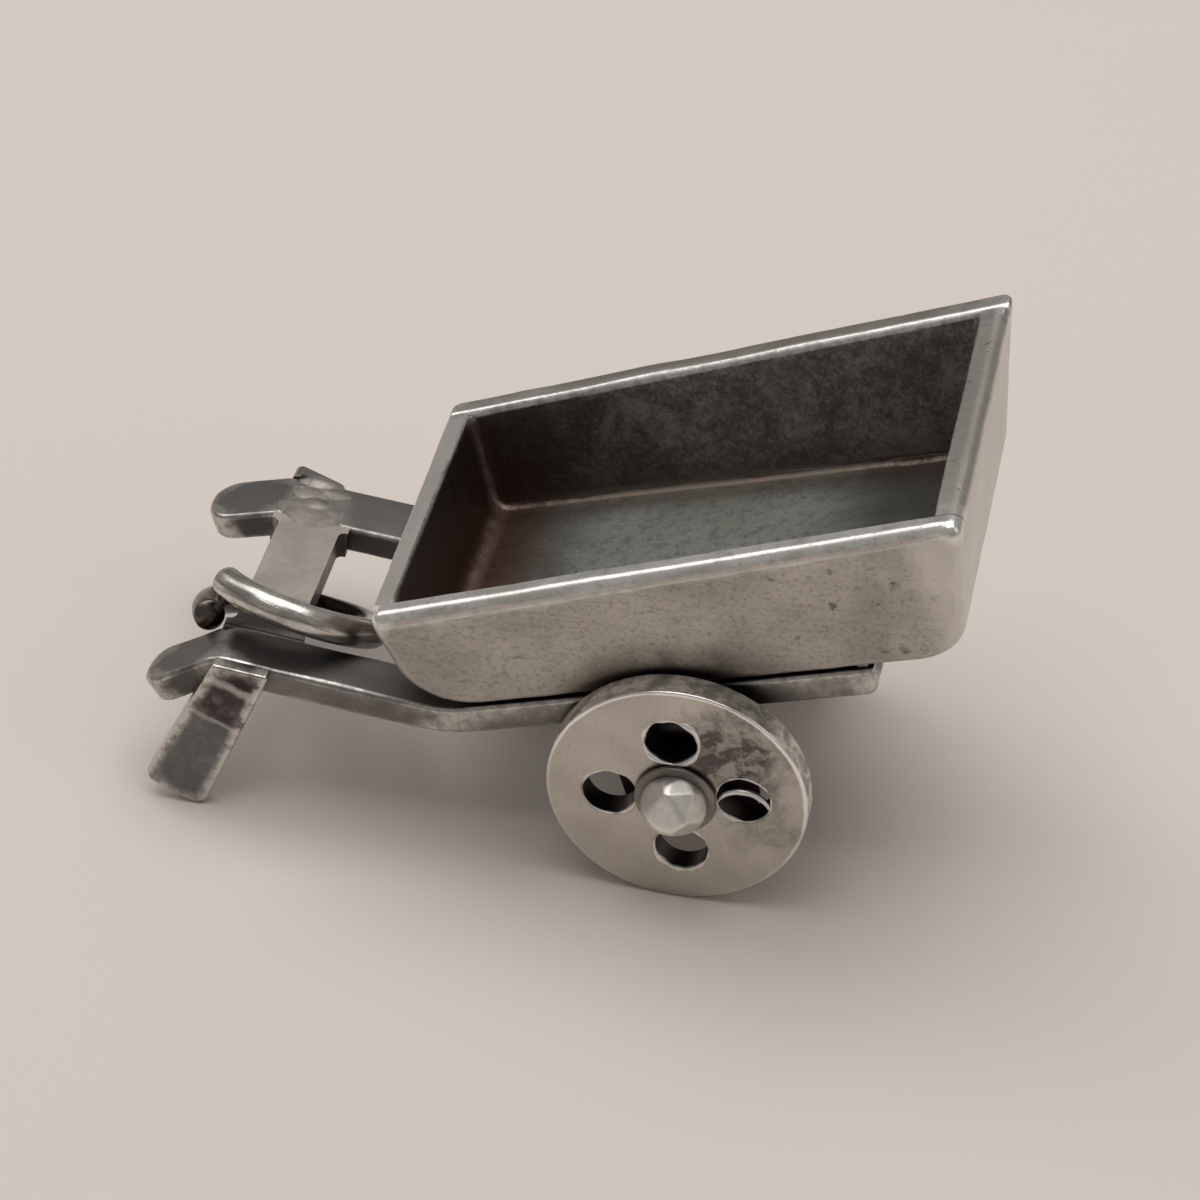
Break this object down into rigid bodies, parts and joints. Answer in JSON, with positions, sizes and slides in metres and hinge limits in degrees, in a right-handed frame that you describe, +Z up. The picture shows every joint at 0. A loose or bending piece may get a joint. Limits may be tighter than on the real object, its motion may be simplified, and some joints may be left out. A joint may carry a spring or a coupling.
{
  "type": "hand cart charm",
  "caption": "Small metal hand cart charm: a tapered open tub on two bent shafts with legs, disc wheels that turn on a riveted axle, and a loose open jump ring round the cross-bar.",
  "frame": {"origin": "middle of the bounding box, on the floor that the wheels and the legs' tips stand on", "axes": "+X from the handles to the tail, +Y to the cart's left, +Z up; the cart stands on its wheels and legs, so the tub's floor rises towards the tail"},
  "size_m": [0.0236, 0.0138, 0.0147],
  "materials": {
    "satin_silver_tub": "satin sheet silver, worn bright at the rim, toned dark inside",
    "toned_silver_frame": "satin sheet silver with grey and brown toning",
    "bright_silver_axle": "bright hammered silver",
    "satin_silver_wheel": "satin silver disc, bright at the edges",
    "polished_silver_ring": "polished round silver wire"
  },
  "bodies": {
    "chassis": {"tub_trough": "satin_silver_tub", "right_tub_side": "satin_silver_tub", "left_tub_side": "satin_silver_tub", "right_shaft": "toned_silver_frame", "left_shaft": "toned_silver_frame", "cross_bar": "toned_silver_frame", "right_leg": "toned_silver_frame", "left_leg": "toned_silver_frame", "axle_bracket": "toned_silver_frame", "axle": "bright_silver_axle", "right_hub_washer": "bright_silver_axle", "left_hub_washer": "bright_silver_axle"},
    "right_wheel": {"right_wheel": "satin_silver_wheel"},
    "left_wheel": {"left_wheel": "satin_silver_wheel"},
    "jump_ring": {"jump_ring": "polished_silver_ring"}
  },
  "joints": [
    {"name": "right_wheel_spin", "type": "hinge", "parent": "chassis", "child": "right_wheel", "pos_m": [0.00436, -0.00515, 0.00375], "axis": [0, 1, 0], "continuous": true},
    {"name": "left_wheel_spin", "type": "hinge", "parent": "chassis", "child": "left_wheel", "pos_m": [0.00436, 0.00515, 0.00375], "axis": [0, 1, 0], "continuous": true},
    {"name": "jump_ring_swing", "type": "hinge", "parent": "chassis", "child": "jump_ring", "pos_m": [-0.00791, -0.00122, 0.00453], "axis": [-0.9962, 0, 0.0873], "range_deg": [0, 85]}
  ]
}
